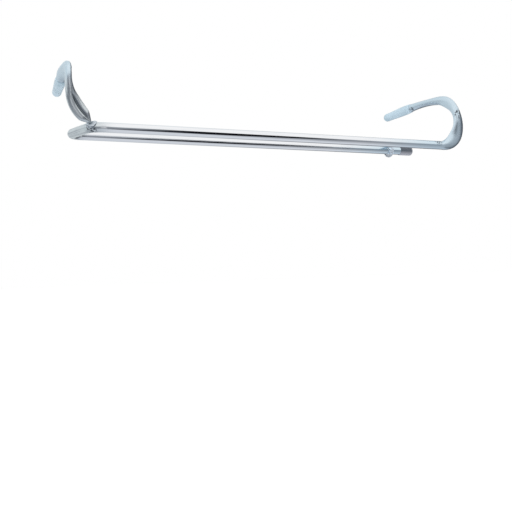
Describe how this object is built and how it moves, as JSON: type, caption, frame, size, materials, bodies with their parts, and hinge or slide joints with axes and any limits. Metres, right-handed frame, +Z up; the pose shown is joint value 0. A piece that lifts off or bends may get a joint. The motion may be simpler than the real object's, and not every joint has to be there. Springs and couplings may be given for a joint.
{
  "type": "hanging wine glass rack",
  "caption": "Chromed rod rack that hangs from a shelf by two hooks, with two rails closed at one end and open at the other to hold glasses by their feet.",
  "frame": {"origin": "midway along the front run of the rails, in the vertical plane of the front rail, level with the underside of both arms where they leave their top bends, which is the level of the shelf's top", "axes": "+X along the rails towards their open end, +Y back over the shelf, the way the arms point, +Z up"},
  "size_m": [0.3165, 0.0794, 0.0466],
  "materials": {
    "rod_chrome": "polished plating, slightly streaked along the rod",
    "weld_chrome": "plated over a rougher weld, satin",
    "tip_vinyl": "soft dipped vinyl, pale blue, translucent",
    "end_cap_plastic": "dark violet-grey, satin",
    "ring_plastic": "clear, smoky, polished"
  },
  "bodies": {
    "root": {"rail_rod": "rod_chrome", "left_hook": "rod_chrome", "left_hook_weld": "weld_chrome", "left_arm_tip": "tip_vinyl", "right_arm_tip": "tip_vinyl", "rear_rail_cap": "end_cap_plastic", "stop_ring": "ring_plastic"}
  },
  "joints": []
}
